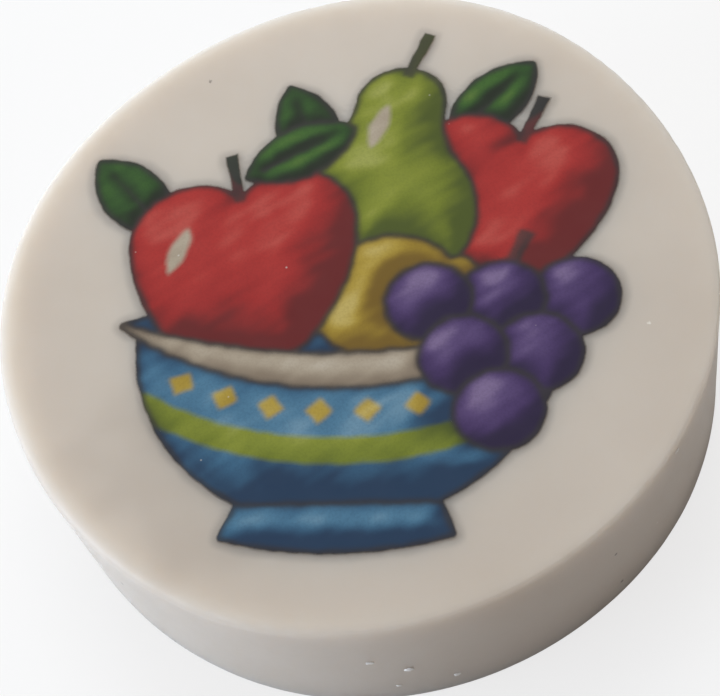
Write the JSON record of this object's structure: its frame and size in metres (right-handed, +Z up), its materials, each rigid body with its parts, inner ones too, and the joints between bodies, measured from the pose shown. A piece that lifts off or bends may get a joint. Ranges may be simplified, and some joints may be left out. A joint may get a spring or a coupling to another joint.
{
  "type": "pencil eraser topper",
  "caption": "Round flat vinyl pencil-top eraser with a printed picture on its face and a blind pencil socket in its underside.",
  "frame": {"origin": "centre of the eraser's underside, on the surface it rests on", "axes": "+Z up out of the printed face along the pencil's axis, +Y the top of the picture, +X its right"},
  "size_m": [0.0348, 0.0355, 0.009],
  "materials": {
    "vinyl": "matt cream-white soft vinyl",
    "ink_line": "matt dark grey transfer ink",
    "ink_red": "matt red transfer ink",
    "ink_green": "matt green transfer ink",
    "ink_lime": "matt yellow-green transfer ink",
    "ink_yellow": "matt yellow transfer ink",
    "ink_purple": "matt purple transfer ink",
    "ink_blue": "matt blue transfer ink",
    "ink_white": "matt pale transfer ink"
  },
  "bodies": {
    "root": {"eraser_body": "vinyl", "print_line": "ink_line", "print_red": "ink_red", "print_green": "ink_green", "print_lime": "ink_lime", "print_yellow": "ink_yellow", "print_purple": "ink_purple", "print_blue": "ink_blue", "print_white": "ink_white"}
  },
  "joints": []
}
